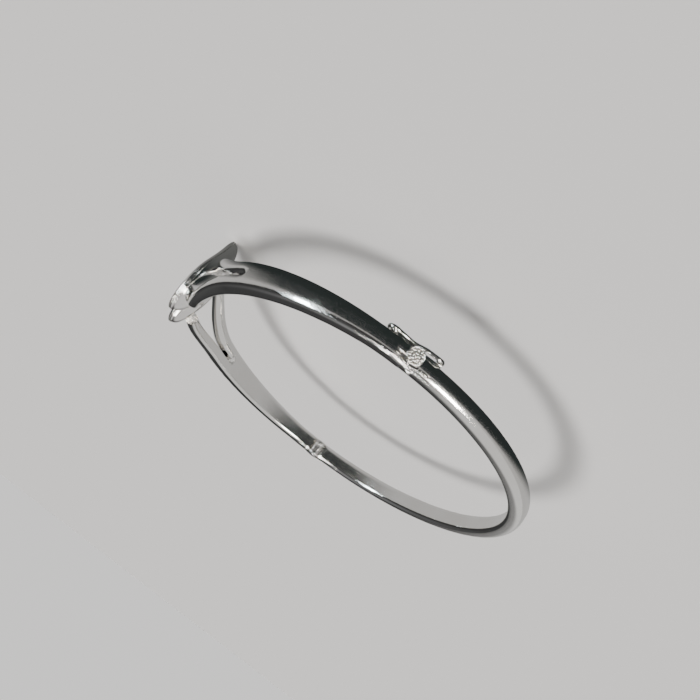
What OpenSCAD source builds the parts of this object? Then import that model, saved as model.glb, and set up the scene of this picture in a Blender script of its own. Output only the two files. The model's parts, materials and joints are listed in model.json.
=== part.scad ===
// Oval hinged bangle with a puffed heart, a box clasp and a safety catch.
// The wrist passes along Z. The heart faces -Y, the clasp is at -X, the hinge at +X.
// The origin is the centre of the oval, halfway through the width of the band.

/* [Band] */
// Half of the outside length of the oval, from clasp to hinge
half_len = 30; // [29:0.5:31]
// Half of the outside depth of the oval, from heart to back
half_dep = 24; // [23.5:0.5:25]
// Radial thickness of the band
band_t = 2; // [2:0.05:2.2]
// Width of the band at the clasp and at the hinge
side_w = 2.3; // [2.2:0.1:2.6]
// Width that the front arms reach towards the heart
front_w = 3.9; // [3.6:0.1:4.4]
// Width of the band at the middle of the back
back_w = 2.5; // [2.4:0.1:3.2]
// Wall of the hollow arms
wall = 0.3; // [0.25:0.05:0.35]

/* [Shoulders] */
// Angle round the oval where a front arm splits in two, counted from the clasp end
split_at = 52; // [50:1:55]
// Middle of the prong beside the lobes where it meets the heart
upper_z = 1.9; // [1.7:0.1:2.1]
// Middle of the prong beside the point where it meets the heart
lower_z = -3.4; // [-3.6:0.1:-3.2]
// Width of a prong where it meets the heart
prong_w = 1.5; // [1.3:0.1:1.6]

/* [Heart] */
// Width of the heart across its lobes
heart_w = 11.6; // [11.2:0.2:12.4]
// Height of the heart from its lobes to its point
heart_h = 12.5; // [12:0.1:13]
// Height of the lobes above the middle of the band
heart_top = 4.1; // [3.9:0.1:4.3]
// How far the face puffs out in front of the edge
heart_puff = 0.8; // [0.7:0.05:1]
// How far the back puffs out behind the edge
back_puff = 2.3; // [2:0.05:2.4]
// Lean of the heart, which sets its lobes further out than its point
heart_lean = 2; // [0:0.5:3]

/* [Hinge] */
// Outside radius of the hinge knuckles
knuckle_r = 1.05; // [1:0.05:1.1]
// Radius of the hinge pin
pin_r = 0.35; // [0.3:0.05:0.4]
// Running clearance round the hinge pin
pin_gap = 0.03; // [0.02:0.01:0.06]
// Length of the middle knuckle
mid_knuckle = 0.8; // [0.7:0.05:0.9]

/* [Clasp] */
// Length of the clasp box
box_len = 3.9; // [3.8:0.05:4]
// Thickness of the tongue's strip
leaf_t = 0.22; // [0.2:0.01:0.24]
// Half of the width of the tongue's strip
leaf_z = 0.54; // [0.5:0.01:0.56]
// Radius of the thumb disc
disc_r = 0.95; // [0.9:0.05:1]
// Rings of dimples round the middle one
dimple_rings = 2; // [1:1:2]

/* [Safety catch] */
// Radius of the wire of the figure of eight
wire_r = 0.22; // [0.2:0.01:0.24]
// Radius of the ball that the catch snaps over
ball_r = 0.42; // [0.4:0.01:0.45]
// Distance of the ball in front of the clasp's joint
ball_y = 2.35; // [2.3:0.05:2.8]
// Distance of the catch's hinge tube behind the joint
tube_y = 3; // [2.8:0.05:3]

/* [Hidden] */

$fn = 48;
silver = "silver";
seam = 0.025;                                    // gap left where two pieces meet end to end
end_r = half_dep * half_dep / half_len;          // radius of the oval's ends
hinge_x = half_len - 0.85;                       // axis of the main hinge
hinge_cut = 1.5;                                 // where the arms stop short of the hinge
plate_t = 0.35;                                  // thickness of the arms' end plates
dome = 0.75;                                     // depth of the domed outer face
corner = 0.4;                                    // rounding of the inner corners
squareness = 0.75;                               // 1 is a plain ellipse, less is squarer
dome_steps = 6;                                  // steps from the middle of the dome to its edge
half_count = dome_steps + 4;                     // points in half of a band section

// ---- The oval ----

// Point of the oval at angle th, moved inwards by d
function oval(th, d = 0) =
    let (nx = half_dep * cos(th), ny = half_len * sin(th), n = norm([nx, ny]))
    [half_len * cos(th) - d * nx / n, half_dep * sin(th) - d * ny / n];
// Direction of the outward normal at angle th
function oval_dir(th) = atan2(half_len * sin(th), half_dep * cos(th));
// Angle of the point of the oval at a distance y from the long axis
function oval_at(y) = asin(y / half_dep);

box_turn = oval_at(box_len);
// Share of the way from the straight-sided ends to the front or the back
function taper(th) = let (s = abs(sin(th)), s0 = sin(box_turn)) max(0, (s - s0) / (1 - s0));
function half_w(th) = (side_w + ((sin(th) < 0 ? front_w : back_w) - side_w) * taper(th)) / 2;

// ---- Sections of the band, as [z, depth] ----

// Half of a section, from the middle of the outer face to the middle of the inner face
function half_section(h, t, dm, r) = concat(
    [for (k = [0 : dome_steps]) let (a = 90 * k / dome_steps)
        [h * pow(sin(a), squareness), dm * (1 - pow(cos(a), squareness))]],
    [[h, t - r], [h - r, t], [0, t]]);
function mirrored(half) = concat(half, [for (i = [len(half) - 2 : -1 : 1]) [-half[i][0], half[i][1]]]);
function section(h) = mirrored(half_section(h, band_t, dome, corner));
function hollow(h) = [for (p = mirrored(half_section(h - wall, band_t - 2 * wall, dome - wall / 2,
                                                      corner - wall / 2))) [p[0], p[1] + wall]];
// The points of a section placed at angle th
function ring(th, pts) = [for (p = pts) let (q = oval(th, p[1])) [q[0], q[1], p[0]]];

// Side faces between the rings that start at a and b
function skin(a, b, n, wrap = true) =
    [for (i = [0 : (wrap ? n - 1 : n - 2)]) [a + i, b + i, b + (i + 1) % n, a + (i + 1) % n]];
function flip(faces) = [for (f = faces) [for (i = [len(f) - 1 : -1 : 0]) f[i]]];
function lid(a, n) = [for (i = [0 : n - 1]) a + i];
function flat_list(l) = [for (a = l) for (b = a) b];

// ---- Front arms ----

arm_rings = 20;
prong_rings = 10;
sec_n = 2 * half_count - 2;
// Angles of a front arm on the clasp side; the other side mirrors it
arm_from = 180 + box_turn;
arm_to = 180 + split_at;
hinge_from = 180 + oval_at(hinge_cut);
prong_upper_to = 180 + 82.6;                     // where the prong beside the lobes enters the heart
prong_lower_to = 180 + 84.2;                     // where the prong beside the point enters it
prong_flat = 0.3;                                // share of its dome that a prong loses on the way
prong_thin = 0.5;                                // how much thinner it gets on the wrist's side

// Rounded ease from 0 to 1
function ease(s) = s * s * (3 - 2 * s);
// Half section of a prong: its inner edge leaves the band's middle and its outer edge swings out
function prong(s, side, th) =
    let (h = half_w(arm_to),
         mid = side > 0 ? upper_z : lower_z,
         near = side * prong_w / 2,
         lo = (mid - near) * ease(s),
         hi = side * h * (1 - ease(s)) + (mid + near) * ease(s))
    [for (p = half_section(1, band_t - prong_thin * ease(s), dome * (1 - prong_flat * s), corner))
        [lo + (hi - lo) * p[0], p[1]]];

module front_arm(from) {
    step = (arm_to - from) / arm_rings;
    outer = [for (i = [0 : arm_rings]) let (th = from + i * step) ring(th, section(half_w(th)))];
    inner = [for (i = [0 : arm_rings - 1]) let (th = from + i * step) ring(th, hollow(half_w(th)))];
    up = [for (j = [1 : prong_rings]) let (s = j / prong_rings, th = arm_to + (prong_upper_to - arm_to) * s)
              ring(th, prong(s, 1, th))];
    down = [for (j = [1 : prong_rings]) let (s = j / prong_rings, th = arm_to + (prong_lower_to - arm_to) * s)
              ring(th, prong(s, -1, th))];
    n = sec_n;
    m = half_count;
    in0 = (arm_rings + 1) * n;
    up0 = in0 + arm_rings * n;
    down0 = up0 + prong_rings * m;
    last = arm_rings * n;
    // The split ring's lower half, read from the outer middle to the inner middle
    low_half = concat([last], [for (i = [1 : m - 1]) last + n - i]);
    faces = concat(
        flat_list([for (i = [0 : arm_rings - 1]) skin(i * n, (i + 1) * n, n)]),
        flip(flat_list([for (i = [0 : arm_rings - 2]) skin(in0 + i * n, in0 + (i + 1) * n, n)])),
        flip(skin(0, in0, n)),
        [lid(in0 + (arm_rings - 1) * n, n)],
        skin(last, up0, m),
        flat_list([for (j = [0 : prong_rings - 2]) skin(up0 + j * m, up0 + (j + 1) * m, m)]),
        flip([lid(up0 + (prong_rings - 1) * m, m)]),
        flip([for (i = [0 : m - 1]) [low_half[i], down0 + i, down0 + (i + 1) % m, low_half[(i + 1) % m]]]),
        flip(flat_list([for (j = [0 : prong_rings - 2]) skin(down0 + j * m, down0 + (j + 1) * m, m)])),
        [lid(down0 + (prong_rings - 1) * m, m)]);
    polyhedron(concat(flat_list(outer), flat_list(inner), flat_list(up), flat_list(down)), flip(faces), 4);
}

module front_arm_clasp_side() { color(silver) front_arm(arm_from); }
module front_arm_hinge_side() { color(silver) mirror([1, 0, 0]) front_arm(hinge_from); }

// ---- Back arm ----

back_rings = 52;
module back_arm() {
    from = oval_at(hinge_cut);
    to = 180 - oval_at(clasp_plate);
    n = sec_n;
    outer = [for (i = [0 : back_rings]) let (th = from + (to - from) * i / back_rings)
                 ring(th, section(half_w(th)))];
    inner = [for (i = [0 : back_rings]) let (th = from + (to - from) * i / back_rings)
                 ring(th, hollow(half_w(th)))];
    in0 = (back_rings + 1) * n;
    faces = concat(
        flat_list([for (i = [0 : back_rings - 1]) skin(i * n, (i + 1) * n, n)]),
        flip(flat_list([for (i = [0 : back_rings - 1]) skin(in0 + i * n, in0 + (i + 1) * n, n)])),
        flip(skin(0, in0, n)),
        skin(back_rings * n, in0 + back_rings * n, n));
    color(silver) polyhedron(concat(flat_list(outer), flat_list(inner)), flip(faces), 4);
}

// ---- Heart: two puffed shells that meet at an edge ----

heart_edge_y = -0.87 - half_dep;                 // plane of the edge, level with the middle of the band
heart_rim = 0.1;                                 // each shell's side stands up this far at the edge
heart_wall = 0.35;                               // thickness of the shells
fullness = 0.8;                                  // 1 puffs like an ellipse, less stays full to the rim
heart_steps = 60;
puff_steps = 7;
seat = 1 - 2 * heart_wall / heart_w;             // scale of a shell's inside
// The heart curve is 32 units wide and 29 high, and rises 12 above its own centre
heart_mid = heart_top - 12 * heart_h / 29;
// Outline of the heart, as [x, z] at scale s
function heart_point(t, s) =
    let (u = 16 * pow(sin(t), 3), v = 13 * cos(t) - 5 * cos(2 * t) - 2 * cos(3 * t) - cos(4 * t))
    [s * u * heart_w / 32, s * v * heart_h / 29 + heart_mid];
function heart_ring(s, y) =
    [for (i = [0 : heart_steps - 1]) let (p = heart_point(360 * i / heart_steps, s)) [p[0], y, p[1]]];
// Rings of a shell that starts at y0 and puffs out by rise, forwards or backwards
function puff(shrink, way, y0, rise) =
    concat([heart_ring(shrink, y0)],
        [for (k = [0 : puff_steps - 1]) let (a = 90 * k / puff_steps)
            heart_ring(shrink * cos(a), y0 + way * (heart_rim + rise * pow(sin(a), fullness)))]);
function puff_tip(way, y0, rise) = [0, y0 + way * (heart_rim + rise), heart_mid];

module heart_shell(way, rise) {
    n = heart_steps;
    y0 = way * seam / 2;
    in0 = (puff_steps + 1) * n;
    tip = 2 * in0;
    last = puff_steps * n;
    faces = concat(
        flat_list([for (k = [0 : puff_steps - 1]) skin(k * n, (k + 1) * n, n)]),
        [for (i = [0 : n - 1]) [last + i, tip, last + (i + 1) % n]],
        flip(flat_list([for (k = [0 : puff_steps - 1]) skin(in0 + k * n, in0 + (k + 1) * n, n)])),
        flip([for (i = [0 : n - 1]) [in0 + last + i, tip + 1, in0 + last + (i + 1) % n]]),
        flip(skin(0, in0, n)));
    points = concat(flat_list(puff(1, way, y0, rise)), flat_list(puff(seat, way, y0, rise - heart_wall)),
                    [puff_tip(way, y0, rise), puff_tip(way, y0, rise - heart_wall)]);
    translate([0, heart_edge_y, 0]) rotate([heart_lean, 0, 0])
        polyhedron(points, way < 0 ? flip(faces) : faces, 4);
}
module heart_front() { color(silver) heart_shell(-1, heart_puff); }
module heart_back() { color(silver) heart_shell(1, back_puff); }

// ---- Pieces at the ends of the arms ----

// Moves to the oval at angle th, with X outwards and Z up
module station(th) { translate(concat(oval(th), [0])) rotate([0, 0, oval_dir(th)]) children(); }
// A section of the band, extruded clockwise round the oval by a length
module slab(th, length) {
    station(th) rotate([90, 0, 0]) linear_extrude(length)
        polygon([for (p = section(half_w(th))) [-p[1], p[0]]]);
}

knuckle_gap = 0.06;                              // between neighbouring knuckles
knuckle_len = (side_w - mid_knuckle) / 2 - knuckle_gap;
neck_x = 0.5;                                    // half of the thickness of a knuckle's neck
neck_reach = 1.2;                                // how far the neck runs to its end plate
module knuckle(length, bore, side) {
    difference() {
        union() {
            cylinder(r = knuckle_r, h = length);
            translate([-neck_x, side > 0 ? 0 : -neck_reach, 0]) cube([2 * neck_x, neck_reach, length]);
        }
        translate([0, 0, -1]) cylinder(r = bore, h = length + 2);
    }
}
module front_hinge_plate() { color(silver) slab(-oval_at(hinge_cut - seam - plate_t), plate_t); }
module back_hinge_plate() { color(silver) slab(oval_at(hinge_cut - seam), plate_t); }
module front_knuckle_upper() {
    color(silver) translate([hinge_x, 0, side_w / 2 - knuckle_len]) knuckle(knuckle_len, pin_r, -1);
}
module front_knuckle_lower() {
    color(silver) translate([hinge_x, 0, -side_w / 2]) knuckle(knuckle_len, pin_r, -1);
}
module middle_knuckle() {
    color(silver) translate([hinge_x, 0, -mid_knuckle / 2]) knuckle(mid_knuckle, pin_r + pin_gap, 1);
}
rivet_r = 0.6;                                   // radius of the pin's two heads
rivet_h = 0.18;                                  // height of a head
rivet_slope = 0.2;                               // width of its sloping edge
module hinge_pin() {
    half = side_w / 2;
    color("gainsboro") translate([hinge_x, 0, 0]) rotate_extrude()
        polygon([[0, -half - rivet_h], [rivet_r - rivet_slope, -half - rivet_h], [rivet_r, -half],
                 [pin_r, -half], [pin_r, half], [rivet_r, half],
                 [rivet_r - rivet_slope, half + rivet_h], [0, half + rivet_h]]);
}

// ---- Box clasp; depth is counted inwards from the band's outer face ----

lip_t = 0.35;                                    // end wall of the box, beside the joint
roof = 0.32;                                     // roof of the box, under the band's outer face
slot_d = 0.62;                                   // depth at which the tongue's slot starts
slot_z = 0.6;                                    // half of the width of the slot
notch_z = 0.36;                                  // half of the width of the notch for the thumb stem
notch_len = 1.2;                                 // length of the notch
notch_d = 0.7;                                   // depth of the notch
box_floor = 0.2;                                 // thickness of the closing floor
floor_fit = 0.02;                                // its clearance in the box
clasp_plate = 0.4;                               // the back arm's end plate ends this far from the joint
// Part of a turned ring at the clasp, from y0 to y1, with depth and height limits or a section
module end_arc(y0, y1) {
    translate([end_r - half_len, 0, 0]) rotate([0, 0, 180 - asin(y1 / end_r)])
        rotate_extrude(angle = asin(y1 / end_r) - asin(y0 / end_r), $fn = 180) children();
}
module end_section() { polygon([for (p = section(side_w / 2)) [end_r - p[1], p[0]]]); }
module end_window(d0, d1, z) { translate([end_r - d1, -z]) square([d1 - d0, 2 * z]); }

module clasp_box() {
    color(silver) difference() {
        end_arc(-box_len, -seam) end_section();
        end_arc(-box_len - 1, -lip_t) end_window(roof, band_t - wall, side_w / 2 - wall);
        translate([-half_len + slot_d, -1, -slot_z]) cube([1, 2, 2 * slot_z]);
        translate([-half_len - 1, notch_z - notch_len, -notch_z])
            cube([1 + notch_d, notch_len, 2 * notch_z]);
        translate([-half_len - 1, notch_z - notch_len, 0]) rotate([0, 90, 0])
            cylinder(r = notch_z, h = 1 + notch_d);
    }
}
module clasp_box_floor() {
    color(silver) end_arc(-box_len, -box_len + box_floor)
        end_window(roof + floor_fit, band_t - wall - floor_fit, side_w / 2 - wall - floor_fit);
}
module back_clasp_plate() { color(silver) end_arc(seam, clasp_plate) end_section(); }

fold_r = 0.36;                                   // outside radius of the tongue's fold
fold_y = -3.1;                                   // where the fold starts
fold_d = 1.53 - fold_r;                          // depth of the middle of the fold
module tongue_base() {
    color("gainsboro") union() {
        translate([-half_len + fold_d + fold_r - leaf_t, fold_y, -leaf_z])
            cube([leaf_t, 2 * seam - fold_y, 2 * leaf_z]);
        translate([-half_len + fold_d, fold_y, -leaf_z]) rotate([0, 0, 180])
            rotate_extrude(angle = 180) translate([fold_r - leaf_t, 0]) square([leaf_t, 2 * leaf_z]);
    }
}
tail_y = -0.4;                                   // end of the sprung strip
tail_d = 0.38;                                   // its depth there
leaf_gap = 0.03;                                 // gap where the strip leaves the fold
module tongue_spring() {
    color("gainsboro") translate([-half_len, 0, -leaf_z]) linear_extrude(2 * leaf_z)
        polygon([[fold_d - fold_r, fold_y + leaf_gap], [tail_d, tail_y], [tail_d + leaf_t, tail_y],
                 [fold_d - fold_r + leaf_t, fold_y + leaf_gap]]);
}
stem_z = 0.29;                                   // half of the width of the thumb stem
stem_back = -1;                                  // where the stem rises from the strip
stem_w = 0.4;                                    // its length along the strip
stem_weld = 0.025;                               // how far its foot sinks into the strip
disc_y = 0.65;                                   // middle of the thumb disc
disc_z = -0.1;
disc_low = -0.55;                                // depth of the disc's underside
// Depth of the sprung strip's outer face at y
function strip_d(y) =
    tail_d + (fold_d - fold_r - tail_d) * (y - tail_y) / (fold_y + leaf_gap - tail_y);
module thumb_stem() {
    color("gainsboro") translate([-half_len, 0, -stem_z]) linear_extrude(2 * stem_z)
        polygon([[strip_d(stem_back) + stem_weld, stem_back], [disc_low, stem_back], [disc_low, disc_y],
                 [disc_low + leaf_t, disc_y], [disc_low + leaf_t, stem_back + stem_w],
                 [strip_d(stem_back + stem_w) + stem_weld, stem_back + stem_w]]);
}
disc_t = 0.4;                                    // thickness of the disc
disc_foot = 0.1;                                 // bevel round its underside
rim_w = 0.2;                                     // width of its raised rim
rim_h = 0.06;                                    // height of the rim above the dimpled middle
dimple_r = 0.13;
dimple_pitch = 0.3;
dimple_lift = 0.04;                              // height of a dimple's centre above the middle
module thumb_disc() {
    color("gainsboro") translate([-half_len + disc_low, disc_y, disc_z]) rotate([0, -90, 0]) difference() {
        rotate_extrude() polygon([[0, 0], [disc_r - disc_foot, 0], [disc_r, disc_foot],
            [disc_r, disc_t - rim_h], [disc_r - rim_h, disc_t], [disc_r - rim_w + rim_h, disc_t],
            [disc_r - rim_w, disc_t - rim_h], [0, disc_t - rim_h]]);
        for (q = [0 : dimple_rings], k = [0 : max(0, 6 * q - 1)])
            rotate([0, 0, q == 0 ? 0 : 60 * k / q])
                translate([dimple_pitch * q, 0, disc_t - rim_h + dimple_lift]) sphere(r = dimple_r, $fn = 20);
    }
}
bead_r = 0.33;                                   // the bead beside the joint
bead_d = 0.75;                                   // depth of its centre
bead_y = 0.95;
bead_sink = 0.05;                                // its centre lies this far inside the band's side
module side_bead() {
    color(silver) translate([bead_d - half_len, bead_y, side_w / 2 - bead_sink])
        sphere(r = bead_r, $fn = 32);
}

// ---- Safety catch, under the clasp ----

post_r = 0.25;                                   // neck between the ball and the band
post_gap = 0.02;                                 // how far the ball stands off the band
catch_z = -side_w / 2 - ball_r - post_gap;
catch_x = 1.15 - half_len;                       // middle of the catch across the band
module ball_post() {
    color(silver) translate([catch_x, -ball_y, catch_z]) cylinder(r = post_r, h = -side_w / 2 - catch_z);
}
module ball() { color(silver) translate([catch_x, -ball_y, catch_z]) sphere(r = ball_r); }
tube_r = 0.4;                                    // the tube that the catch turns in
tube_bore = wire_r + 0.04;
tube_len = 0.9;
bracket_x = 0.35;                                // half sizes of the bracket under the tube
bracket_y = 0.3;
bracket_sink = 0.06;                             // how far the bracket goes into the tube's round
module catch_tube() {
    color(silver) translate([catch_x - tube_len / 2, tube_y, catch_z]) rotate([0, 90, 0]) difference() {
        cylinder(r = tube_r, h = tube_len);
        translate([0, 0, -1]) cylinder(r = tube_bore, h = tube_len + 2);
    }
}
module catch_bracket() {
    top = -side_w / 2;
    low = catch_z + tube_r - bracket_sink;
    color(silver) translate([catch_x - bracket_x, tube_y - bracket_y, low])
        cube([2 * bracket_x, 2 * bracket_y, top - low]);
}
eye_gap = 0.05;                                  // clearance of the front eye round the ball
loop_r = ball_r + wire_r + eye_gap;
lobe_w = 0.88;                                   // half width of the lobe at the tube
waist_w = wire_r + 0.02;                         // half width of the waist
eye_turn = 35;                                   // angle at which the front eye's round part starts
reach = ball_y + tube_y;
lobe_end = -1.5;                                 // where the lobe starts to narrow
waist_y = -3.2;                                  // where the waist is narrowest
wire_sides = 10;
bend_r = 0.38;                                   // bends at the ends of the bar in the tube
bar_half = lobe_w - bend_r;
eye_start = [loop_r * cos(eye_turn), loop_r * sin(eye_turn) - reach];
// Right half of the wire's path, from beside the tube to the far end of the front eye
wire_half = concat(
    [for (k = [0 : 4]) [lobe_w - bend_r + bend_r * sin(22.5 * k), bend_r * cos(22.5 * k) - bend_r]],
    [for (k = [0 : 8]) let (s = k / 8)
        [lobe_w + (waist_w - lobe_w) * ease(s), lobe_end + (waist_y - lobe_end) * s]],
    [for (k = [1 : 7]) let (s = k / 8)
        [waist_w + (eye_start[0] - waist_w) * ease(s), waist_y + (eye_start[1] - waist_y) * s]],
    [for (k = [0 : 12]) let (a = eye_turn - (90 + eye_turn) * k / 12)
        [loop_r * cos(a), loop_r * sin(a) - reach]]);
wire_path = concat(wire_half, [for (i = [len(wire_half) - 2 : -1 : 0]) [-wire_half[i][0], wire_half[i][1]]]);
// Circle of the wire round path point i, square to the path
function wire_ring(path, i) =
    let (d = i == 0 || i == len(path) - 1 ? [1, 0] : path[i + 1] - path[i - 1],
         u = d / norm(d))
    [for (k = [0 : wire_sides - 1]) let (a = 360 * k / wire_sides)
        [path[i][0] - u[1] * wire_r * cos(a), path[i][1] + u[0] * wire_r * cos(a), wire_r * sin(a)]];
module catch_loop() {
    n = wire_sides;
    last = (len(wire_path) - 1) * n;
    faces = concat(
        flat_list([for (i = [0 : len(wire_path) - 2]) skin(i * n, (i + 1) * n, n)]),
        [lid(0, n)], flip([lid(last, n)]));
    color("gainsboro") translate([catch_x, tube_y, catch_z])
        polyhedron(flat_list([for (i = [0 : len(wire_path) - 1]) wire_ring(wire_path, i)]), faces, 4);
}
module catch_pin() {
    color("gainsboro") translate([catch_x - bar_half, tube_y, catch_z]) rotate([0, 90, 0])
        cylinder(r = wire_r, h = 2 * bar_half);
}

heart_front();
heart_back();
front_arm_clasp_side();
front_arm_hinge_side();
clasp_box();
clasp_box_floor();
ball_post();
ball();
front_hinge_plate();
front_knuckle_upper();
front_knuckle_lower();
hinge_pin();
back_arm();
back_clasp_plate();
side_bead();
tongue_base();
back_hinge_plate();
middle_knuckle();
catch_tube();
catch_bracket();
tongue_spring();
thumb_stem();
thumb_disc();
catch_loop();
catch_pin();
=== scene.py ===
"""Oval hinged bangle with a puffed heart, a box clasp and a figure-eight safety catch.

Lengths are in millimetres in this file and become metres when a mesh is made. The wrist
passes along Z; the heart faces -Y, the clasp is at -X and the main hinge is at +X.
"""
import json
import math

import bmesh
import bpy
from mathutils import Matrix, Vector

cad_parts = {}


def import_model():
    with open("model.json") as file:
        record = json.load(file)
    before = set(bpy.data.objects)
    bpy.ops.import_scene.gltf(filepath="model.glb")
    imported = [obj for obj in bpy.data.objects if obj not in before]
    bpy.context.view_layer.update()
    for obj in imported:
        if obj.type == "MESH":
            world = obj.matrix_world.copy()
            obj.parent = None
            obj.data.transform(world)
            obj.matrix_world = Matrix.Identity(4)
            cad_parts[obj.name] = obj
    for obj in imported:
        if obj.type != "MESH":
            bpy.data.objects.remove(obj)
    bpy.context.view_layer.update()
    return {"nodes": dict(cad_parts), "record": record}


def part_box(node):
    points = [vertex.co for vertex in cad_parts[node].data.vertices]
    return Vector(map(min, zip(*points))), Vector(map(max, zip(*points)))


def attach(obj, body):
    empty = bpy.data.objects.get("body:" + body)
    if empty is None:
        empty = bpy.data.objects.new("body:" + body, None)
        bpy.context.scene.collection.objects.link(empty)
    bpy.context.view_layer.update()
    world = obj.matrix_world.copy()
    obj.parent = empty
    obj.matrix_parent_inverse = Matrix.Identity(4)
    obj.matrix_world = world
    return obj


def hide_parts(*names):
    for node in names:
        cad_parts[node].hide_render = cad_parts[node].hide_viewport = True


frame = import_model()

MM = 0.001
WELD = 1e-7                         # points closer than this, in metres, become one


# ---------------------------------------------------------------- sizes from the frame

def box_mm(node):
    low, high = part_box(node)
    return low / MM, high / MM


back_low, back_high = box_mm("back_arm")
half_len = -back_low.x              # half of the oval's length, clasp to hinge
half_dep = 24.0                     # half of the oval's depth, heart to back
band_t = 2.0                        # radial thickness of the band
side_w = 2.3                        # band width at the clasp and at the hinge
front_w = 3.9                       # width that the front arms reach at the front
back_w = 2 * back_high.z            # band width at the middle of the back
box_len = -box_mm("clasp_box")[0].y  # length of the clasp box
hinge_cut = 1.5                     # the arms stop this far short of the hinge
split_from = 49.5                   # angle past the clasp where the groove of the fork starts
split_at = 56.0                     # angle where it has parted the arm in two


# ---------------------------------------------------------------- the oval and its sections

def oval(th, d=0.0):
    """Point of the oval at angle th in degrees, moved inwards by d."""
    a = math.radians(th)
    nx, ny = half_dep * math.cos(a), half_len * math.sin(a)
    n = math.hypot(nx, ny)
    return half_len * math.cos(a) - d * nx / n, half_dep * math.sin(a) - d * ny / n


def oval_at(y):
    return math.degrees(math.asin(y / half_dep))


box_turn = oval_at(box_len)


def half_w(th):
    """Half of the band's width at angle th, wider towards the front and the back."""
    s = math.sin(math.radians(th))
    s0 = math.sin(math.radians(box_turn))
    share = max(0.0, (abs(s) - s0) / (1 - s0))
    return (side_w + ((front_w if s < 0 else back_w) - side_w) * share) / 2


def ease(s):
    """Goes from 0 to 1 with a soft start and end."""
    s = min(1.0, max(0.0, s))
    return s * s * (3 - 2 * s)


TOP_STEPS = 16
CORNER_STEPS = 6


def half_section(h, t, dome, squareness, corner):
    """Half of a band section as (z, depth), from the outer middle to the inner middle."""
    out = []
    for k in range(TOP_STEPS + 1):
        a = math.pi / 2 * k / TOP_STEPS
        out.append((h * math.sin(a) ** squareness, dome * (1 - math.cos(a) ** squareness)))
    out.append((h, (dome + t - corner) / 2))
    for k in range(CORNER_STEPS + 1):
        a = math.pi / 2 * k / CORNER_STEPS
        out.append((h - corner * (1 - math.cos(a)), t - corner * (1 - math.sin(a))))
    for k in (0.66, 0.33, 0.0):
        out.append(((h - corner) * k, t))
    return out


def both_halves(half):
    return half + [(-z, d) for z, d in half[-2:0:-1]]


def ring(th, pts):
    """The points of a section, placed at angle th."""
    out = []
    for z, d in pts:
        x, y = oval(th, d)
        out.append((x, y, z))
    return out


# ---------------------------------------------------------------- making meshes

def solid(name, verts, faces, weld=True):
    """An object from points in millimetres, with its normals turned outwards."""
    mesh = bpy.data.meshes.new(name)
    mesh.from_pydata([Vector(v) * MM for v in verts], [], faces)
    bm = bmesh.new()
    bm.from_mesh(mesh)
    if weld:
        bmesh.ops.remove_doubles(bm, verts=bm.verts, dist=WELD)
    bmesh.ops.recalc_face_normals(bm, faces=bm.faces)
    bm.to_mesh(mesh)
    bm.free()
    obj = bpy.data.objects.new(name, mesh)
    bpy.context.scene.collection.objects.link(obj)
    return obj


def new_mesh(name, verts, faces, body, slot, nodes, sharp=40.0):
    """A smooth-shaded piece; without a body it is only a start, which place() finishes."""
    obj = solid(name, verts, faces)
    finish_mesh(obj, sharp)
    place(obj, body, slot, nodes)
    return obj


def finish_mesh(obj, sharp):
    """Smooth shading, with edges sharper than an angle in degrees kept crisp."""
    mesh = obj.data
    mesh.shade_smooth()
    mesh.set_sharp_from_angle(angle=math.radians(sharp))


def place(obj, body, slot, nodes):
    """Puts a piece on its body with its material, in place of its plain nodes."""
    if body:
        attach(obj, body)
        obj.data.materials.clear()
        obj.data.materials.append(MATERIALS[slot])
    if nodes:
        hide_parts(*nodes)


def tube_faces(rings, n, start=0, closed=False):
    """Side faces between successive rings of n points."""
    out = []
    for r in range(rings if closed else rings - 1):
        a, b = start + r * n, start + ((r + 1) % rings) * n
        out += [(a + i, b + i, b + (i + 1) % n, a + (i + 1) % n) for i in range(n)]
    return out


def lathe(profile, steps=64, closed=False):
    """Verts and faces of a profile of (radius, height) turned about Z."""
    verts, faces = [], []
    for k in range(steps):
        a = 2 * math.pi * k / steps
        verts += [(r * math.cos(a), r * math.sin(a), h) for r, h in profile]
    n = len(profile)
    for k in range(steps):
        a, b = k * n, (k + 1) % steps * n
        for i in range(n if closed else n - 1):
            j = (i + 1) % n
            faces.append((a + i, b + i, b + j, a + j))
    return verts, faces


def moved(verts, matrix):
    return [tuple(matrix @ Vector(v)) for v in verts]


def evaluated(obj):
    """Applies an object's modifiers to its mesh."""
    depsgraph = bpy.context.evaluated_depsgraph_get()
    mesh = bpy.data.meshes.new_from_object(obj.evaluated_get(depsgraph))
    obj.modifiers.clear()
    obj.data = mesh
    return obj


def cut(obj, *cutters):
    """Takes the cutters out of obj, then removes them."""
    for c in cutters:
        m = obj.modifiers.new("cut", "BOOLEAN")
        m.operation = "DIFFERENCE"
        m.solver = "EXACT"
        m.object = c
    bpy.context.view_layer.update()
    evaluated(obj)
    for c in cutters:
        bpy.data.objects.remove(c)
    return obj


def bevelled(obj, width, segments=3, angle=35.0):
    m = obj.modifiers.new("edges", "BEVEL")
    m.width = width * MM
    m.segments = segments
    m.limit_method = "ANGLE"
    m.angle_limit = math.radians(angle)
    m.harden_normals = False
    return evaluated(obj)


# ---------------------------------------------------------------- materials

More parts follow.
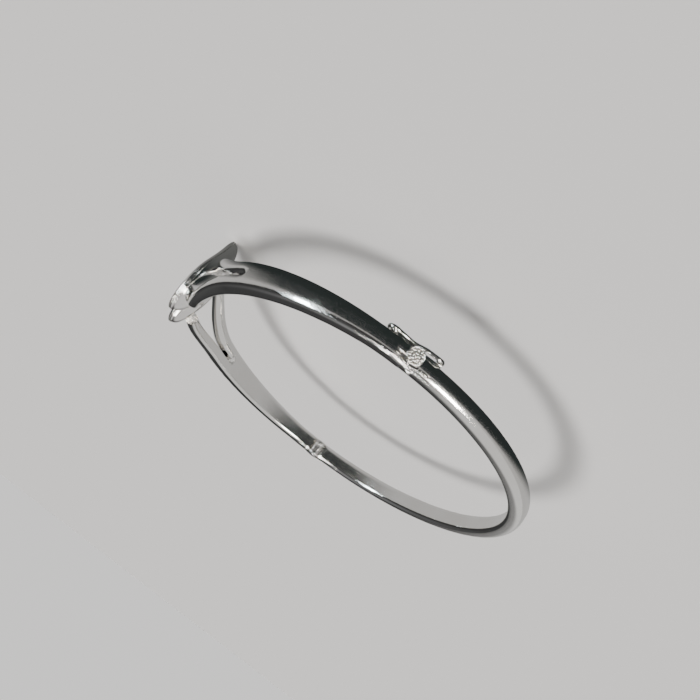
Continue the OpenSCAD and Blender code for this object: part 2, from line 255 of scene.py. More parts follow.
def silver(name, color, rough, rough_range, scratch, grain_scale, wear):
    """Polished or satin silver with fine scratches, small dents and uneven polish."""
    mat = bpy.data.materials.new(name)
    mat.use_nodes = True
    nodes, links = mat.node_tree.nodes, mat.node_tree.links
    shader = nodes["Principled BSDF"]
    shader.inputs["Metallic"].default_value = 1.0
    shader.inputs["Specular IOR Level"].default_value = 0.5
    coords = nodes.new("ShaderNodeTexCoord")

    def noise(scale, detail, roughness=0.55, stretch=(1, 1, 1), turn=(0, 0, 0)):
        mapping = nodes.new("ShaderNodeMapping")
        mapping.inputs["Scale"].default_value = stretch
        mapping.inputs["Rotation"].default_value = turn
        tex = nodes.new("ShaderNodeTexNoise")
        tex.inputs["Scale"].default_value = scale
        tex.inputs["Detail"].default_value = detail
        tex.inputs["Roughness"].default_value = roughness
        links.new(coords.outputs["Object"], mapping.inputs["Vector"])
        links.new(mapping.outputs["Vector"], tex.inputs["Vector"])
        return tex.outputs["Fac"]

    def spread(value, low, high, to_low, to_high):
        node = nodes.new("ShaderNodeMapRange")
        node.inputs["From Min"].default_value = low
        node.inputs["From Max"].default_value = high
        node.inputs["To Min"].default_value = to_low
        node.inputs["To Max"].default_value = to_high
        links.new(value, node.inputs["Value"])
        return node.outputs["Result"]

    def total(a, b):
        node = nodes.new("ShaderNodeMath")
        node.operation = "ADD"
        links.new(a, node.inputs[0])
        links.new(b, node.inputs[1])
        return node.outputs["Value"]

    # hairline scratches, in three directions
    hair = None
    for k, turn in enumerate(((0, 0, 0.5), (0.7, 0.3, 1.9), (1.4, 0.9, 0.2))):
        lines = spread(noise(grain_scale, 2, stretch=(1, 14, 14), turn=turn), 0.60, 0.72, 0.0, 1.0)
        hair = lines if hair is None else total(hair, lines)
    polish = spread(noise(260, 5), 0.35, 0.7, rough, rough + rough_range)
    scuffs = spread(hair, 0.0, 1.5, 0.0, 0.10 * wear)
    links.new(total(polish, scuffs), shader.inputs["Roughness"])

    tone = nodes.new("ShaderNodeMix")
    tone.data_type = "RGBA"
    tone.inputs["A"].default_value = (*color, 1)
    tone.inputs["B"].default_value = (*(c * f for c, f in zip(color, (0.93, 0.92, 0.90))), 1)
    links.new(spread(noise(120, 6), 0.4, 0.75, 0.0, 1.0), tone.inputs["Factor"])
    links.new(tone.outputs["Result"], shader.inputs["Base Color"])

    fine = nodes.new("ShaderNodeBump")
    fine.inputs["Strength"].default_value = scratch
    fine.inputs["Distance"].default_value = 0.00001
    links.new(hair, fine.inputs["Height"])
    dents = nodes.new("ShaderNodeBump")
    dents.inputs["Strength"].default_value = 0.35 * wear
    dents.inputs["Distance"].default_value = 0.00006
    links.new(noise(330, 1.5, 0.4), dents.inputs["Height"])
    links.new(fine.outputs["Normal"], dents.inputs["Normal"])
    links.new(dents.outputs["Normal"], shader.inputs["Normal"])
    return mat


MATERIALS = {
    "polished_silver": silver("polished_silver", (0.82, 0.81, 0.79), 0.045, 0.05, 0.25, 900, 0.7),
    "hinge_silver": silver("hinge_silver", (0.78, 0.77, 0.75), 0.09, 0.08, 0.3, 1200, 0.8),
    "spring_silver": silver("spring_silver", (0.76, 0.75, 0.72), 0.13, 0.08, 0.4, 1500, 0.6),
}
# painted shade: a dark silver that darkens the thumb pad's pits
PAINTED_PIT_SHADE = silver("pit_shade_silver", (0.24, 0.23, 0.20), 0.30, 0.10, 0.3, 1500, 0.6)


# ---------------------------------------------------------------- arms

FRONT = dict(dome=0.75, squareness=0.55, corner=0.4)
BACK = dict(dome=0.95, squareness=0.8, corner=0.5)
ARM_RINGS = 110
FORK_RINGS = 24
PRONG_RINGS = 40
PRONG_W = 1.55
PRONG_UPPER_Z = 1.9                 # middle of each prong where it meets the heart
PRONG_LOWER_Z = -3.4
PRONG_THIN = 0.5                    # how much thinner a prong gets on the wrist's side
ROUNDER = 0.7                       # share of the way to a plain round section at its end
UPPER_END = 82.6                    # angles past the clasp where the prongs end
LOWER_END = 84.2
SHOULDER_LEN = 1.45                 # length of the sloping shoulder beside the clasp
SHOULDER_DROP = 0.36                # how far it slopes down
PLATE_START = 0.4                   # distance from the joint at which the back arm's end plate starts
PLATE_END = 0.03                    # and at which it ends
BACK_RINGS = 300


def section(th, kind, drop=0.0):
    pts = both_halves(half_section(half_w(th), band_t, **kind))
    return [(z, d + drop * (1 - d / band_t)) for z, d in pts]


def fork_half(th, side, parted, out):
    """Half of the forked section.

    parted goes 0 to 1 as a groove widens and deepens from both faces until it meets itself, and
    out goes 0 to 1 as the prong swings away, thins on the wrist's side and turns rounder.
    """
    h = half_w(min(th, 180 + split_at))
    t = band_t - PRONG_THIN * out
    band = half_section(h, t, **FRONT)
    last = len(band) - 1
    mid_d = t / 2
    end_mid = PRONG_UPPER_Z if side > 0 else PRONG_LOWER_Z
    near = side * (end_mid - side * PRONG_W / 2) * out
    far = h * (1 - out) + side * (end_mid + side * PRONG_W / 2) * out
    pts = []
    for k, (z, d) in enumerate(band):
        share = ease(2 * parted - z / h)
        if z < h / 2:
            b = math.pi / 2 * (1 - 2 * z / h)
            groove_z = h / 2 * (1 - math.sin(b))
            groove_d = mid_d + (d - mid_d) * math.cos(b) ** 0.8
            z += (groove_z - z) * share
            d += (groove_d - d) * share
        a = 2 * math.pi * (0.01 + 0.98 * k / last)
        round_z = h / 2 - h / 2 * math.copysign(abs(math.cos(a)) ** 0.8, math.cos(a))
        round_d = mid_d - mid_d * math.copysign(abs(math.sin(a)) ** 0.8, math.sin(a))
        z += (round_z - z) * out * ROUNDER
        d += (round_d - d) * out * ROUNDER
        pts.append((side * (near + (far - near) * z / h), d))
    return pts


def front_arm(name, start, mirror, node):
    """A front arm: one tube that grooves, parts in two and swings out to the heart."""
    verts, faces = [], []
    first = 180 + split_from
    ths = [start + (first - start) * i / ARM_RINGS for i in range(ARM_RINGS + 1)]
    ths += [first + (split_at - split_from) * i / FORK_RINGS for i in range(1, FORK_RINGS + 1)]
    for th in ths:
        parted = min(1.0, max(0.0, (th - first) / (split_at - split_from)))
        up = fork_half(th, 1, parted, 0.0)
        down = fork_half(th, -1, parted, 0.0)
        verts += ring(th, up + down[-2:0:-1])
    half_n = len(up)
    n = 2 * half_n - 2
    faces += tube_faces(len(ths), n)
    faces.append(tuple(range(n)))
    last = (len(ths) - 1) * n
    start_halves = {1: list(range(last, last + half_n)),
                    -1: [last] + [last + n - i for i in range(1, half_n)]}
    for side, end in ((1, UPPER_END), (-1, LOWER_END)):
        before = start_halves[side]
        for j in range(1, PRONG_RINGS + 1):
            s = j / PRONG_RINGS
            th = 180 + split_at + (end - split_at) * s
            here = len(verts)
            verts += ring(th, fork_half(th, side, 1.0, ease(s)))
            now = list(range(here, here + half_n))
            for i in range(half_n):
                k = (i + 1) % half_n
                faces.append((before[i], now[i], now[k], before[k]))
            before = now
        faces.append(tuple(before))
    if mirror:
        verts = [(-x, y, z) for x, y, z in verts]
    return new_mesh(name, verts, faces, "front_half", "polished_silver", [node], sharp=50)


front_arm("front_arm_left", 180 + box_turn, False, "front_arm_clasp_side")
front_arm("front_arm_right", 180 + oval_at(hinge_cut), True, "front_arm_hinge_side")


def sweep(ths, kind, drop=lambda th: 0.0):
    """Closed solid of the band's section along the oval."""
    verts = []
    for th in ths:
        verts += ring(th, section(th, kind, drop(th)))
    n = len(verts) // len(ths)
    faces = tube_faces(len(ths), n)
    faces += [tuple(range(n)), tuple(range(len(verts) - n, len(verts)))]
    return verts, faces


def span(a, b, steps):
    """Evenly spaced angles from a to b."""
    return [a + (b - a) * i / steps for i in range(steps + 1)]


verts, faces = sweep(span(oval_at(hinge_cut), 180 - oval_at(PLATE_START), BACK_RINGS), BACK)
new_mesh("back_arm_tube", verts, faces, "back_half", "polished_silver", ["back_arm"], sharp=50)
verts, faces = sweep(span(180 - oval_at(PLATE_START), 180 - oval_at(PLATE_END), 2), BACK)
new_mesh("back_end_plate", verts, faces, "back_half", "polished_silver", ["back_clasp_plate"], sharp=50)


# ---------------------------------------------------------------- heart

heart_low, heart_high = box_mm("heart_front")
heart_w = heart_high.x - heart_low.x
heart_h = 12.5                      # from the lobes to the point
heart_top = 4.1                     # height of the lobes above the middle of the band
heart_mid = heart_top - 12 * heart_h / 29
heart_puff = 0.8                    # how far the face puffs out, and the back
back_puff = 2.3
heart_rim = 0.1
heart_wall = 0.35
heart_edge_y = -0.87 - half_dep     # where the two shells meet
heart_lean = math.radians(2)
HEART_STEPS = 288
DOME_STEPS = 40


def heart_outline(scale, y, roundness):
    """The heart's outline at a scale; roundness takes it towards a plain oval."""
    pts = []
    for i in range(HEART_STEPS):
        t = 2 * math.pi * i / HEART_STEPS
        u = 16 * math.sin(t) ** 3
        v = 13 * math.cos(t) - 5 * math.cos(2 * t) - 2 * math.cos(3 * t) - math.cos(4 * t)
        u += (12.5 * math.sin(t) - u) * roundness
        v += (10.5 * math.cos(t) - 1.5 - v) * roundness
        pts.append((scale * u * heart_w / 32, y, scale * v * heart_h / 29 + heart_mid))
    return pts


def heart_shell(name, node, way, rise):
    """One puffed shell, way -1 for the face and 1 for the back, with a softly rolled edge."""
    wall = 0.06
    rings = [((1 - wall) * math.sin(a), heart_rim + (rise - heart_wall) * math.cos(a), math.cos(a) ** 2)
             for a in (math.pi / 2 * k / 8 for k in range(1, 9))]
    rings += [(1 - wall, 0.02, 0), (1 - wall / 2, 0.012, 0), (0.984, 0.012, 0), (0.993, 0.03, 0),
              (0.998, 0.06, 0), (1.0, 0.1, 0), (0.998, 0.16, 0), (0.991, 0.2, 0), (0.982, 0.22, 0)]
    for k in range(1, DOME_STEPS):
        a = math.pi / 2 * k / DOME_STEPS
        rings.append((0.978 * math.cos(a), 0.22 + (heart_rim + rise - 0.22) * math.sin(a) ** 0.9,
                      math.sin(a) ** 2 * 0.9))
    verts = []
    for scale, y, roundness in rings:
        verts += heart_outline(scale, way * y, roundness)
    n = HEART_STEPS
    faces = tube_faces(len(rings), n)
    for start, y in ((0, rise + heart_rim - heart_wall), ((len(rings) - 1) * n, rise + heart_rim)):
        verts.append((0.0, way * y, heart_mid))
        faces += [(start + i, start + (i + 1) % n, len(verts) - 1) for i in range(n)]
    lean = Matrix.Translation((0, heart_edge_y, 0)) @ Matrix.Rotation(heart_lean, 4, "X")
    new_mesh(name, moved(verts, lean), faces, "front_half", "polished_silver", [node], sharp=60)


heart_shell("heart_face", "heart_front", -1, heart_puff)
heart_shell("heart_back_shell", "heart_back", 1, back_puff)


# ---------------------------------------------------------------- clasp

NOTCH_Z = 0.40                      # half of the width of the notch for the stem
NOTCH_LEN = 1.25
ROOF = 0.62                         # thickness of the box over its cavity


def prism(outline, low, high, axis):
    """A flat outline of two coordinates, extruded along an axis from low to high."""
    n = len(outline)

    def at(p, h):
        if axis == "x":
            return (h, p[0], p[1])
        if axis == "y":
            return (p[0], h, p[1])
        return (p[0], p[1], h)
    verts = [at(p, low) for p in outline] + [at(p, high) for p in outline]
    return verts, tube_faces(2, n) + [tuple(range(n)), tuple(range(n, 2 * n))]


def rectangle(x0, x1, y0, y1):
    return [(x0, y0), (x1, y0), (x1, y1), (x0, y1)]


def clasp_box():
    """The sleeve: a sloping shoulder, a notch for the stem, and the tongue's cavity."""
    def drop(th):
        y = half_dep * math.sin(math.radians(th - 180))
        return SHOULDER_DROP * max(0.0, SHOULDER_LEN - y) / SHOULDER_LEN
    ths = span(180 + oval_at(0.02), 180 + oval_at(SHOULDER_LEN), 40)
    ths += span(180 + oval_at(SHOULDER_LEN), 180 + box_turn, 24)[1:]
    verts, faces = sweep(ths, FRONT, drop)
    obj = new_mesh("clasp_sleeve", verts, faces, None, None, None)
    r = NOTCH_Z
    notch = [(0.5, -r), (0.5, r)]
    notch += [(r - NOTCH_LEN - r * math.sin(a), r * math.cos(a))
              for a in (math.pi * k / 20 for k in range(21))]
    inside = band_t - 0.3
    roof = -half_len + ROOF
    cavity = rectangle(roof, -half_len + inside, -0.8, 0.8)
    slot = rectangle(roof, -half_len + 1.62, -0.6, 0.6)
    cut(obj, solid("notch", *prism(notch, -half_len - 1, -half_len + 0.75, "x"), weld=False),
        solid("cavity", *prism(cavity, -3.4, -0.35, "y"), weld=False),
        solid("slot", *prism(slot, -0.6, 0.5, "y"), weld=False))
    bevelled(obj, 0.035)
    finish_mesh(obj, 35)
    place(obj, "front_half", "polished_silver", ["clasp_box"])


DISC_TILT = 5.0                     # the disc leans this far outwards towards the back and the edge
DISC_SINK = 0.13                    # room for that lean
RIM_W = 0.13                        # width of the raised rim
RIM_H = 0.05
PIT_RINGS = (1, 2)                  # rings of pits round the middle one
PIT_PITCH = 0.35
PIT_R = 0.125
PIT_DEPTH = 0.11
LIP_H = 0.022                       # the metal pushed up round a pit
LIP_AT, LIP_END, LIP_W = 1.1, 1.35, 0.14    # where that lip is, in radii of the pit
PIT_SHADE_R = 0.095                   # the painted shade fills a pit this far from its middle
PIT_SHADE_DEPTH = 0.2                 # and lies no deeper than this, so the underside stays bright


def dimpled_disc():
    """The thumb piece: a round pad with a raised rim and nineteen small round pits."""
    low, high = box_mm("thumb_disc")
    r = (high.y - low.y) / 2
    top = -low.x + high.x
    mid = Vector((high.x, (low.y + high.y) / 2, (low.z + high.z) / 2))
    top -= DISC_SINK
    floor_r = r - RIM_W
    pits = [(0.0, 0.0)]
    for q in PIT_RINGS:
        for k in range(6 * q):
            a = 2 * math.pi * k / (6 * q) + 0.2
            pits.append((PIT_PITCH * q * math.cos(a), PIT_PITCH * q * math.sin(a)))

    def height(x, y):
        d = math.hypot(x, y)
        if d > floor_r:
            return top - RIM_H + RIM_H * math.sin(math.pi / 2 * min(1.0, (d - floor_r) / RIM_H))
        h = top - RIM_H + RIM_H * (1 - (d / floor_r) ** 2)
        for px, py in pits:
            e = math.hypot(x - px, y - py) / PIT_R
            if e < LIP_END:
                h += LIP_H * math.exp(-((e - LIP_AT) / LIP_W) ** 2)
            if e < 1:
                h -= PIT_DEPTH * (1 - e * e)
        return h
    turns, rings = 192, 72
    circle = [(math.cos(2 * math.pi * k / turns), math.sin(2 * math.pi * k / turns)) for k in range(turns)]
    verts = [(0, 0, height(0, 0))]
    for q in ((r - RIM_H) * k / rings for k in range(1, rings + 1)):
        verts += [(q * x, q * y, height(q * x, q * y)) for x, y in circle]
    side = [(r - 0.02, top - 0.015), (r, top - 0.06), (r, 0.1),
            (r - 0.03, 0.04), (r - 0.1, 0.0), (0.4, 0.0)]
    for q, h in side:
        verts += [(q * x, q * y, h) for x, y in circle]
    faces = [(0, 1 + k, 1 + (k + 1) % turns) for k in range(turns)]
    faces += tube_faces(rings + len(side), turns, 1)
    verts.append((0, 0, 0))
    last = 1 + (rings + len(side) - 1) * turns
    faces += [(last + k, last + (k + 1) % turns, len(verts) - 1) for k in range(turns)]
    tilt = math.radians(DISC_TILT)
    turn = Matrix.Translation(mid) @ Matrix.Rotation(math.radians(-90), 4, "Y")
    turn = turn @ Matrix.Rotation(-tilt, 4, "X") @ Matrix.Rotation(tilt, 4, "Y")
    obj = new_mesh("thumb_pad", moved(verts, turn), faces, "thumb_catch", "polished_silver",
                   ["thumb_disc"], 60)
    # painted shade: a dark material in the pits, darker than the pad
    obj.data.materials.append(PAINTED_PIT_SHADE)
    flat = turn.inverted()
    for face in obj.data.polygons:
        x, y, h = flat @ (face.center / MM)
        if h > top - PIT_SHADE_DEPTH and any(math.hypot(x - px, y - py) < PIT_SHADE_R for px, py in pits):
            face.material_index = 1


def thumb_stem():
    """The stem that rises through the notch and bends over to the disc."""
    low, high = box_mm("thumb_stem")
    z = high.z
    top, foot = low.x, high.x - 0.06
    y0, y1 = low.y, high.y
    t = 0.22                        # thickness of the part under the disc
    foot_w = 0.4
    bend, inner_bend = 0.2, 0.12
    outer = [(foot, y0)]
    outer += [(top + bend - bend * math.sin(a), y0 + bend - bend * math.cos(a))
              for a in (math.pi / 2 * k / 8 for k in range(9))]
    inner = [(top, y1), (top + t, y1)]
    inner += [(top + t + inner_bend - inner_bend * math.cos(a),
               y0 + foot_w + inner_bend - inner_bend * math.sin(a))
              for a in (math.pi / 2 * k / 6 for k in range(7))]
    verts, faces = prism(outer + inner + [(foot, y0 + foot_w)], -z, z, "z")
    obj = new_mesh("thumb_stalk", verts, faces, None, None, None)
    bevelled(obj, 0.05)
    finish_mesh(obj, 40)
    place(obj, "thumb_catch", "spring_silver", ["thumb_stem"])


clasp_box()
dimpled_disc()
thumb_stem()


# ---------------------------------------------------------------- safety catch

def catch_loop():
    """The figure of eight: drawn wire, a little flattened, wider at the tube end."""
    low, high = box_mm("catch_loop")
    pin_low, pin_high = box_mm("catch_pin")
    ball_low, ball_high = box_mm("ball")
    wire = (high.z - low.z) / 2
    mid_x = (low.x + high.x) / 2
    lobe = (high.x - low.x) / 2 - wire
    tube_y = (pin_low.y + pin_high.y) / 2
    z = (low.z + high.z) / 2
    reach = tube_y - (ball_low.y + ball_high.y) / 2
    eye = (ball_high.x - ball_low.x) / 2 + wire + 0.05      # radius of the loop round the ball
    bend = 0.38                     # radius of the corners at the tube
    waist = wire + 0.02             # half of the distance between the wires where they nearly meet
    narrowing, narrow_len, waist_y = -1.5, 1.7, -3.2
    narrow_steps, widen_steps = 28, 20
    turn = math.radians(35)
    half = [(lobe - bend + bend * math.sin(math.pi / 2 * k / 12),
             bend * math.cos(math.pi / 2 * k / 12) - bend) for k in range(13)]
    half += [(lobe + (waist - lobe) * ease(k / narrow_steps), narrowing - narrow_len * k / narrow_steps)
             for k in range(narrow_steps + 1)]
    ex, ey = eye * math.cos(turn), eye * math.sin(turn) - reach
    half += [(waist + (ex - waist) * ease(k / widen_steps), waist_y + (ey - waist_y) * k / widen_steps)
             for k in range(1, widen_steps)]
    half += [(eye * math.cos(a), eye * math.sin(a) - reach)
             for a in (turn - (math.pi / 2 + turn) * k / 32 for k in range(33))]
    path = half + [(-x, y) for x, y in half[-2::-1]]
    sides = 24
    verts = []
    for i, (x, y) in enumerate(path):
        if i in (0, len(path) - 1):
            ux, uy = 1.0, 0.0
        else:
            dx, dy = path[i + 1][0] - path[i - 1][0], path[i + 1][1] - path[i - 1][1]
            n = math.hypot(dx, dy)
            ux, uy = dx / n, dy / n
        for k in range(sides):
            a = 2 * math.pi * k / sides
            w = wire * math.copysign(abs(math.cos(a)) ** 0.85, math.cos(a))
            verts.append((mid_x + x - uy * w, tube_y + y + ux * w, z + wire * math.sin(a)))
    faces = tube_faces(len(path), sides)
    faces += [tuple(range(sides)), tuple(range(len(verts) - sides, len(verts)))]
    new_mesh("catch_wire", verts, faces, "safety_catch", "polished_silver", ["catch_loop"], 60)


catch_loop()


def round_profile(r, low, high, edge=0.05):
    """Profile of a solid cylinder with rounded rims."""
    out = [(0.0, low)]
    out += [(r - edge + edge * math.sin(a), low + edge - edge * math.cos(a))
            for a in (math.pi / 2 * k / 4 for k in range(5))]
    out += [(r - edge + edge * math.cos(a), high - edge + edge * math.sin(a))
            for a in (math.pi / 2 * k / 4 for k in range(5))]
    return out + [(0.0, high)]


def ball_profile(r):
    return [(r * math.sin(math.pi * k / 32), -r * math.cos(math.pi * k / 32)) for k in range(33)]


def turned(name, node, profile, mid, axis, body, slot, closed=False, steps=64):
    """A turned piece with its axis along x or z through mid."""
    turn = Matrix.Translation(mid)
    if axis == "x":
        turn = turn @ Matrix.Rotation(math.radians(90), 4, "Y")
    verts, faces = lathe(profile, steps, closed)
    return new_mesh(name, moved(verts, turn), faces, body, slot, [node], 50)


def centre(node):
    """The middle of a node's box, and half of its size."""
    low, high = box_mm(node)
    return (low + high) / 2, (high - low) / 2


mid, half = centre("ball")
turned("ball_stud", "ball", ball_profile(half.x), mid, "z", "front_half", "polished_silver")
mid, half = centre("ball_post")
turned("ball_neck", "ball_post", round_profile(half.x, -half.z, half.z, 0.02), mid, "z", "front_half",
       "polished_silver")
mid, half = centre("side_bead")
turned("side_bead_round", "side_bead", ball_profile(half.x), mid, "z", "back_half", "polished_silver")
mid, half = centre("catch_pin")
turned("catch_bar", "catch_pin", round_profile(half.y, -half.x, half.x, 0.01), mid, "x", "safety_catch",
       "polished_silver")
mid, half = centre("catch_tube")
bore = centre("catch_pin")[1].y + 0.04      # the catch turns with this clearance
tube = [(bore, -half.x + 0.04), (bore + 0.04, -half.x), (half.y - 0.06, -half.x), (half.y, -half.x + 0.06),
        (half.y, half.x - 0.06), (half.y - 0.06, half.x), (bore + 0.04, half.x), (bore, half.x - 0.04)]
turned("catch_barrel", "catch_tube", tube, mid, "x", "back_half", "hinge_silver", closed=True)


# ---------------------------------------------------------------- main hinge

def knuckle(name, node, bore_r, toward):
    """A hinge knuckle: a barrel with a leaf that runs to its arm's end plate."""
    low, high = box_mm(node)
    r = (high.x - low.x) / 2
    mx = (low.x + high.x) / 2
    n = 96
    leaf = 0.5                      # half of the leaf's thickness
    reach = 1.2                     # how far it reaches from the pin's axis
    outer = []
    for k in range(n):
        a = 2 * math.pi * k / n
        x, y = r * math.cos(a), r * math.sin(a)
        if y * toward > 0 and abs(x) < leaf:
            y = toward * reach
        outer.append((mx + x, y))
    inner = [(mx + bore_r * math.cos(2 * math.pi * k / n), bore_r * math.sin(2 * math.pi * k / n))
             for k in range(n)]
    verts = [(x, y, z) for z in (low.z, high.z) for x, y in outer]
    verts += [(x, y, z) for z in (low.z, high.z) for x, y in inner]
    faces = []
    for k in range(n):
        j = (k + 1) % n
        faces += [(k, j, n + j, n + k), (2 * n + k, 2 * n + j, 3 * n + j, 3 * n + k),
                  (k, j, 2 * n + j, 2 * n + k), (n + k, n + j, 3 * n + j, 3 * n + k)]
    body = "front_half" if toward < 0 else "back_half"
    obj = new_mesh(name, verts, faces, None, None, None)
    bevelled(obj, 0.04)
    finish_mesh(obj, 40)
    place(obj, body, "hinge_silver", [node])


pin_r = 0.35
pin_gap = 0.03
knuckle("knuckle_top", "front_knuckle_upper", pin_r, -1)
knuckle("knuckle_bottom", "front_knuckle_lower", pin_r, -1)
knuckle("knuckle_middle", "middle_knuckle", pin_r + pin_gap, 1)
mid, half = centre("hinge_pin")
head_r, head_h = half.x, 0.18
pin = [(0.0, -half.z), (head_r * 0.45, -half.z + 0.01), (head_r * 0.8, -half.z + 0.06),
       (head_r, -half.z + head_h), (pin_r, -half.z + head_h), (pin_r, half.z - head_h),
       (head_r, half.z - head_h), (head_r * 0.8, half.z - 0.06), (head_r * 0.45, half.z - 0.01),
       (0.0, half.z)]
turned("hinge_rivet", "hinge_pin", pin, mid, "z", "front_half", "hinge_silver")

# small plates that keep their own shape, with softened edges
for node in ("clasp_box_floor", "front_hinge_plate", "back_hinge_plate", "tongue_base", "catch_bracket",
             "tongue_spring"):
    obj = frame["nodes"][node]
    obj.data.materials.clear()
    slot = next(s["material_slot"] for s in frame["record"]["subparts"] if s["node"] == node)
    obj.data.materials.append(MATERIALS[slot])
    edges = obj.modifiers.new("edges", "BEVEL")
    edges.width = 0.03 * MM
    edges.segments = 3
    edges.limit_method = "ANGLE"
    edges.angle_limit = math.radians(40)


# ---------------------------------------------------------------- stage, lights and camera

PALE = (0.74, 0.73, 0.72, 1)        # the floor, and what the camera sees beyond it
FLOOR_SIZE = 8.0                    # half of the floor's width, in metres
PATCH_X = -48.0                     # centre of the painted dark patch that only mirrored rays see, from the heart's point
PATCH_Y = 21.0
PATCH_R = 44.0                      # where it starts to fade
PATCH_END = 70.0                    # where the floor has turned pale
# painted reflection: the floor's colours as the metal mirrors them, dark in the patch and pale outside
PAINTED_REFLECTION_DARK = (0.030, 0.036, 0.036, 1)
PAINTED_REFLECTION_PALE = (0.58, 0.57, 0.56, 1)


def floor():
    """A wide, level, pale floor at the heart's point, so that the open half swings above it.

    Polished metal mirrors a painted reflection: to mirrored rays the floor glows, dark in a patch in front
    of the clasp and pale elsewhere, while the camera sees it evenly pale and lit.
    """
    tip = Vector((0, heart_edge_y, heart_low.z))
    mesh = bpy.data.meshes.new("floor")
    corners = [(x, y, 0) for x, y in rectangle(-FLOOR_SIZE, FLOOR_SIZE, -FLOOR_SIZE, FLOOR_SIZE)]
    mesh.from_pydata(corners, [], [(0, 1, 2, 3)])
    obj = bpy.data.objects.new("floor", mesh)
    bpy.context.scene.collection.objects.link(obj)
    obj.location = tip * MM
    mat = bpy.data.materials.new("pale_floor")
    mat.use_nodes = True
    nodes, links = mat.node_tree.nodes, mat.node_tree.links
    shader = nodes["Principled BSDF"]
    shader.inputs["Base Color"].default_value = PALE
    shader.inputs["Roughness"].default_value = 0.9
    shader.inputs["Specular IOR Level"].default_value = 0.0
    coords = nodes.new("ShaderNodeTexCoord")
    reach = nodes.new("ShaderNodeVectorMath")
    reach.operation = "DISTANCE"
    reach.inputs[1].default_value = (PATCH_X * MM, PATCH_Y * MM, 0)
    links.new(coords.outputs["Object"], reach.inputs[0])
    fade = nodes.new("ShaderNodeMapRange")
    fade.interpolation_type = "SMOOTHSTEP"
    fade.inputs["From Min"].default_value = PATCH_R * MM
    fade.inputs["From Max"].default_value = PATCH_END * MM
    links.new(reach.outputs["Value"], fade.inputs["Value"])
    tone = nodes.new("ShaderNodeMix")
    tone.data_type = "RGBA"
    tone.inputs["A"].default_value = PAINTED_REFLECTION_DARK
    tone.inputs["B"].default_value = PAINTED_REFLECTION_PALE
    links.new(fade.outputs["Result"], tone.inputs["Factor"])
    # painted reflection: to mirrored rays the floor glows in these colours instead of being lit
    glow = nodes.new("ShaderNodeEmission")
    links.new(tone.outputs["Result"], glow.inputs["Color"])
    path = nodes.new("ShaderNodeLightPath")
    mix = nodes.new("ShaderNodeMixShader")
    links.new(path.outputs["Is Glossy Ray"], mix.inputs["Fac"])
    links.new(shader.outputs["BSDF"], mix.inputs[1])
    links.new(glow.outputs["Emission"], mix.inputs[2])
    links.new(mix.outputs["Shader"], nodes["Material Output"].inputs["Surface"])
    mesh.materials.append(mat)


def area_light(name, place_mm, target_mm, size_mm, watts, color):
    """A soft panel that only the metal shows; the floor isn't lit by it, and so stays even."""
    light = bpy.data.lights.new(name, "AREA")
    light.shape = "RECTANGLE"
    light.size = size_mm[0] * MM
    light.size_y = size_mm[1] * MM
    light.energy = watts
    light.color = color
    obj = bpy.data.objects.new(name, light)
    bpy.context.scene.collection.objects.link(obj)
    obj.location = Vector(place_mm) * MM
    obj.rotation_euler = (Vector(target_mm) - Vector(place_mm)).to_track_quat("-Z", "Y").to_euler()
    obj.visible_diffuse = False


def sun_light(name, toward, strength, spread, color):
    """An even, soft light that comes from the direction toward; the metal doesn't mirror it."""
    light = bpy.data.lights.new(name, "SUN")
    light.energy = strength
    light.angle = math.radians(spread)
    light.color = color
    obj = bpy.data.objects.new(name, light)
    bpy.context.scene.collection.objects.link(obj)
    obj.rotation_euler = (-Vector(toward)).to_track_quat("-Z", "Y").to_euler()
    obj.visible_glossy = False


BACKDROP_STRENGTH = 1.3             # as bright as the lit floor
ROOM_LEVELS = ((0.0, 0.04), (0.3, 0.05), (0.7, 0.12), (1.0, 0.28))    # horizon to straight above
BRIGHT_SIDE = (0.15, 0.95, 0.20)    # direction of the studio's pale wall
WALL_START = 0.28                   # how close to that direction the wall starts, and is full
WALL_FULL = 0.62
WALL_COLOR = (0.80, 0.79, 0.78, 1)


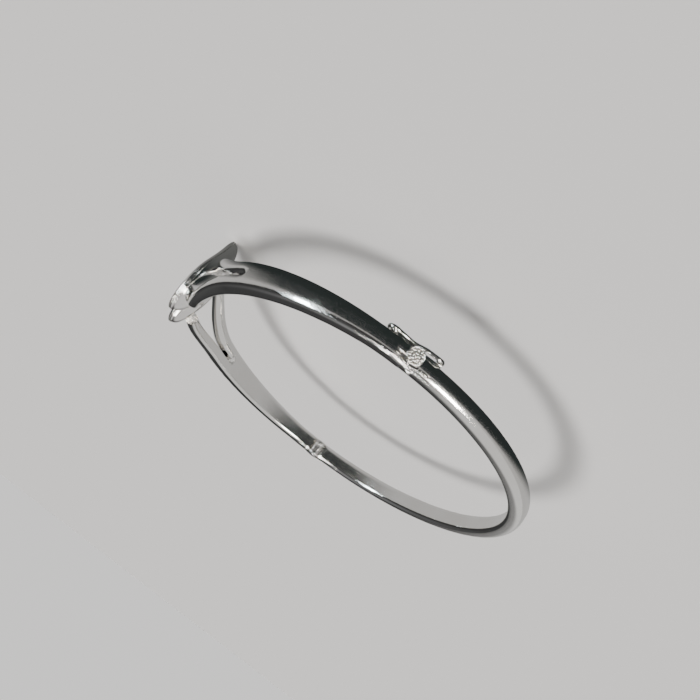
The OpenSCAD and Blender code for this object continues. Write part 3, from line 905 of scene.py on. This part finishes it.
def world():
    """A dim studio for the metal to mirror, darkest at the horizon, and pale to the camera."""
    w = bpy.data.worlds.new("studio")
    w.use_nodes = True
    bpy.context.scene.world = w
    nodes, links = w.node_tree.nodes, w.node_tree.links
    out = nodes["World Output"]
    seen = nodes["Background"]
    seen.inputs["Color"].default_value = PALE
    seen.inputs["Strength"].default_value = BACKDROP_STRENGTH
    room = nodes.new("ShaderNodeBackground")
    coords = nodes.new("ShaderNodeTexCoord")
    split = nodes.new("ShaderNodeSeparateXYZ")
    ramp = nodes.new("ShaderNodeValToRGB")
    links.new(coords.outputs["Generated"], split.inputs["Vector"])
    links.new(split.outputs["Z"], ramp.inputs["Fac"])
    while len(ramp.color_ramp.elements) < len(ROOM_LEVELS):
        ramp.color_ramp.elements.new(0.5)
    for element, (position, level) in zip(ramp.color_ramp.elements, ROOM_LEVELS):
        element.position = position
        element.color = (level, level * 1.01, level * 1.03, 1)
    side = nodes.new("ShaderNodeVectorMath")
    side.operation = "DOT_PRODUCT"
    side.inputs[1].default_value = BRIGHT_SIDE
    links.new(coords.outputs["Generated"], side.inputs[0])
    wall = nodes.new("ShaderNodeMapRange")
    wall.interpolation_type = "SMOOTHSTEP"
    wall.inputs["From Min"].default_value = WALL_START
    wall.inputs["From Max"].default_value = WALL_FULL
    links.new(side.outputs["Value"], wall.inputs["Value"])
    both = nodes.new("ShaderNodeMix")
    both.data_type = "RGBA"
    both.inputs["B"].default_value = WALL_COLOR
    links.new(wall.outputs["Result"], both.inputs["Factor"])
    links.new(ramp.outputs["Color"], both.inputs["A"])
    links.new(both.outputs["Result"], room.inputs["Color"])
    path = nodes.new("ShaderNodeLightPath")
    mix = nodes.new("ShaderNodeMixShader")
    links.new(path.outputs["Is Camera Ray"], mix.inputs["Fac"])
    links.new(room.outputs["Background"], mix.inputs[1])
    links.new(seen.outputs["Background"], mix.inputs[2])
    links.new(mix.outputs["Shader"], out.inputs["Surface"])


CAMERA_PLACE = (-119.3, -4.0, 31.5)
CAMERA_YAW, CAMERA_PITCH, CAMERA_ROLL = -0.4, -17.6, 142.4      # in degrees
LENS, SENSOR = 51.4, 36


def camera():
    """Looks down at the clasp side, rolled over."""
    data = bpy.data.cameras.new("camera")
    data.lens = LENS
    data.sensor_width = SENSOR
    data.clip_start = 0.005
    data.clip_end = 20
    obj = bpy.data.objects.new("camera", data)
    bpy.context.scene.collection.objects.link(obj)
    yaw, pitch, roll = (math.radians(a) for a in (CAMERA_YAW, CAMERA_PITCH, CAMERA_ROLL))
    ahead = Vector((math.cos(pitch) * math.cos(yaw), math.cos(pitch) * math.sin(yaw), math.sin(pitch)))
    level = ahead.to_track_quat("-Z", "Y")
    obj.rotation_mode = "QUATERNION"
    obj.rotation_quaternion = level @ Matrix.Rotation(-roll, 3, "Z").to_quaternion()
    obj.location = Vector(CAMERA_PLACE) * MM
    bpy.context.scene.camera = obj


floor()
world()
sun_light("overhead", (-0.25, -0.3, 1), 3.2, 26, (1, 0.98, 0.96))
area_light("ceiling_strip", (-90, -10, 200), (0, 0, 0), (9, 320), 0.75, (1, 0.99, 0.97))
area_light("window", (-170, 120, 90), (-25, 5, 0), (80, 80), 0.9, (1, 0.96, 0.90))
area_light("front_strip", (-90, -190, 60), (0, -20, 0), (40, 130), 0.5, (0.84, 0.95, 1))
camera()
